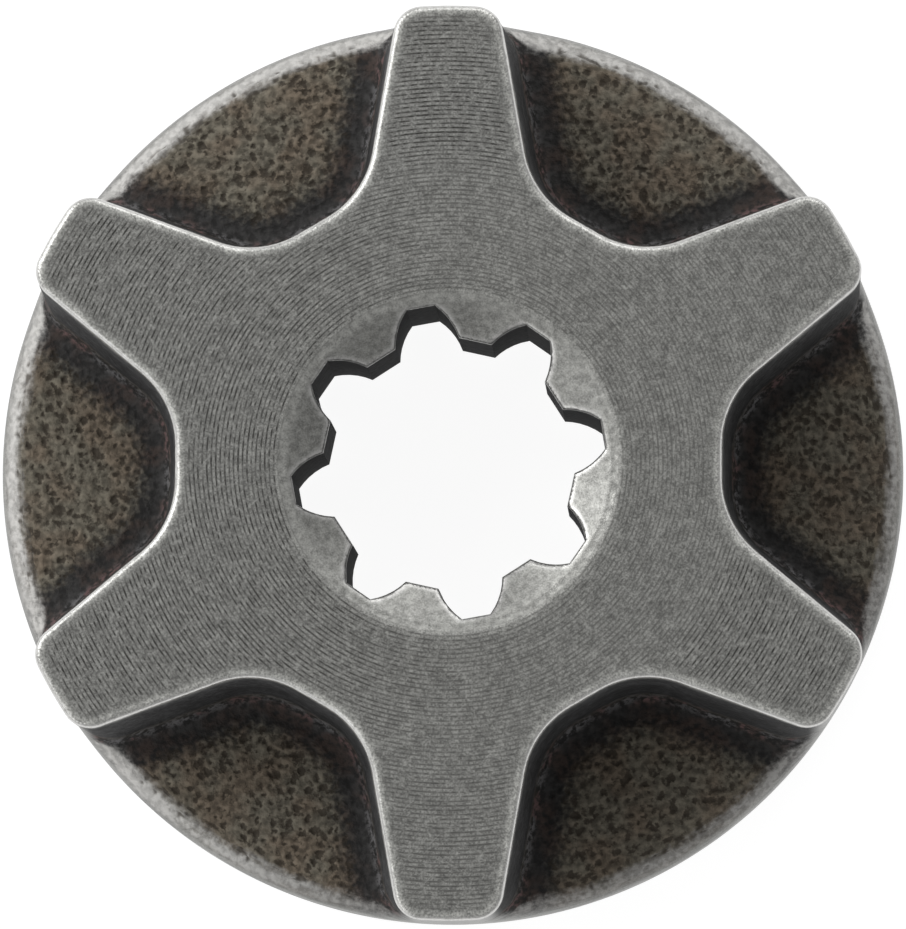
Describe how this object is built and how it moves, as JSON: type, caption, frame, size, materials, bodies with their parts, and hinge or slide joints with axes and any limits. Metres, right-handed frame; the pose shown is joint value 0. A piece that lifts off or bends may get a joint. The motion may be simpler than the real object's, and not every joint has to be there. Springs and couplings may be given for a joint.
{
  "type": "chainsaw drive sprocket",
  "caption": "Star-shaped chainsaw drive sprocket: tapered teeth forged onto a round back flange, with a countersunk splined hole through the hub for the drive shaft.",
  "frame": {"origin": "centre of the flange's back face, on the axis of the splined hole", "axes": "+Z along the hole from the back face to the toothed face, +Y along one tooth"},
  "size_m": [0.0294, 0.0294, 0.0075],
  "materials": {
    "forged_steel": "turned tooth face and countersink, dark scaled and pitted pockets, edges worn bright"
  },
  "bodies": {
    "root": {"sprocket": "forged_steel"}
  },
  "joints": []
}
